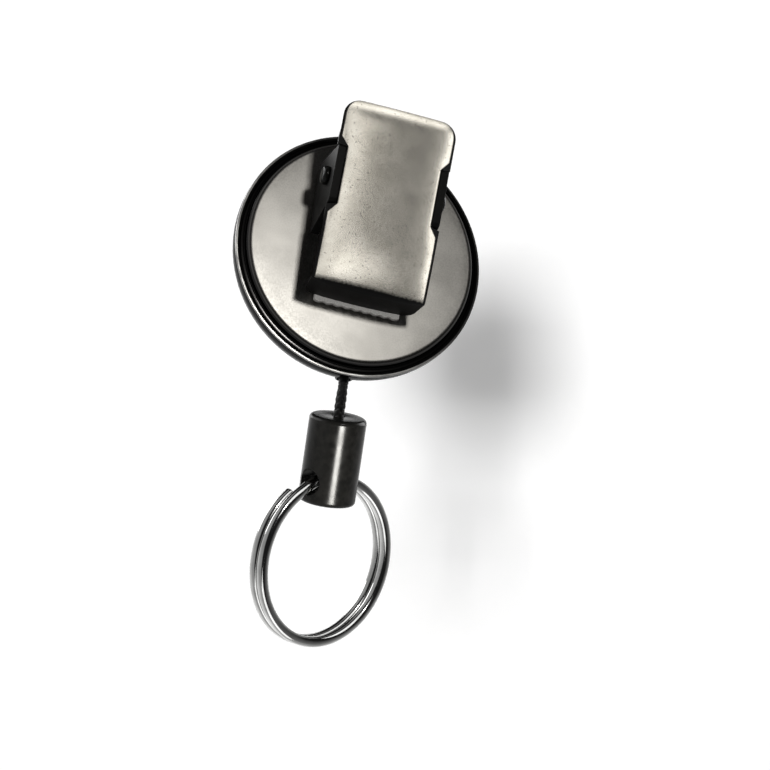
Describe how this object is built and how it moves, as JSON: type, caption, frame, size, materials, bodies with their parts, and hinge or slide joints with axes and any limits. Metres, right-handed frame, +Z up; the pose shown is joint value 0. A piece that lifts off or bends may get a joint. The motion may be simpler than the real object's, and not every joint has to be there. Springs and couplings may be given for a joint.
{
  "type": "retractable key reel",
  "caption": "Round key reel with a sprung belt clip on its back and a self-winding cord that carries a small barrel and a split ring.",
  "frame": {"origin": "on the jaw face of the clip's base plate, where the swivel axis of the case passes through it", "axes": "+Y out of the front of the case along the swivel axis, -Y out of the back towards the clip's lever, +Z up with the cord leaving downwards, +X to the right when the clip is seen"},
  "size_m": [0.04, 0.0402, 0.0783],
  "materials": {
    "case_black": "glossy black enamel",
    "satin_steel": "bead-blasted satin nickel",
    "dark_steel": "dark satin nickel",
    "spring_steel": "bright spring wire",
    "ring_chrome": "polished plate",
    "nylon_white": "moulded",
    "nylon_grey": "moulded",
    "cord_black": "braided",
    "brass": "turned"
  },
  "bodies": {
    "clip": {"clip_base": "dark_steel", "hinge_pin": "dark_steel", "clip_spring": "spring_steel"},
    "case": {"front_cover": "case_black", "back_cover": "satin_steel", "arbor": "dark_steel", "outlet_bushing": "case_black", "thrust_washer": "nylon_grey", "swivel_washer": "nylon_grey", "swivel_rivet": "dark_steel", "cord_lead": "cord_black"},
    "lever": {"clip_lever": "satin_steel"},
    "spool": {"spool": "nylon_white", "spool_cap": "nylon_white", "cord_inner_layers": "cord_black", "cord_outer_layer": "cord_black", "mainspring": "spring_steel"},
    "cord": {"cord_stretch": "cord_black"},
    "cord_end": {"stop_ferrule": "brass"},
    "barrel": {"end_barrel": "case_black"},
    "ring": {"split_ring": "ring_chrome"}
  },
  "joints": [
    {"name": "clip_swivel", "type": "hinge", "parent": "clip", "child": "case", "pos_m": [0, 0, 0], "axis": [0, 1, 0], "continuous": true},
    {"name": "clip_open", "type": "hinge", "parent": "clip", "child": "lever", "pos_m": [0.00045, -0.0056, 0.00779], "axis": [-0.9983, 0, 0.0576], "range_deg": [0, 35], "stiffness_Nm_per_rad": 0.12, "springref_deg": -45.84, "deforming": ["clip_spring"]},
    {"name": "spool_spin", "type": "hinge", "parent": "case", "child": "spool", "pos_m": [0, 0.00623, 0], "axis": [0, 1, 0], "range_deg": [0, 2400]},
    {"name": "cord_swing", "type": "hinge", "parent": "case", "child": "cord", "pos_m": [0, 0.00623, -0.02045], "axis": [1, 0, 0], "range_deg": [-105, 45], "deforming": ["cord_stretch"]},
    {"name": "cord_pull", "type": "slide", "parent": "cord", "child": "cord_end", "axis": [0.0767, 0.4985, -0.8635], "range_m": [0, 0.5], "stiffness_N_per_m": 4, "springref_m": -0.4, "deforming": ["cord_stretch", "cord_outer_layer", "mainspring"]},
    {"name": "barrel_spin", "type": "hinge", "parent": "cord_end", "child": "barrel", "pos_m": [0, 0.00623, -0.02045], "axis": [0.0767, 0.4985, -0.8635], "continuous": true},
    {"name": "ring_swing", "type": "hinge", "parent": "barrel", "child": "ring", "pos_m": [0.00119, 0.01398, -0.03388], "axis": [-0.8678, -0.3931, -0.304], "range_deg": [-90, 86]}
  ],
  "couplings": [
    {"joint": "spool_spin", "follows": "cord_pull", "rad_per_m": 82}
  ]
}
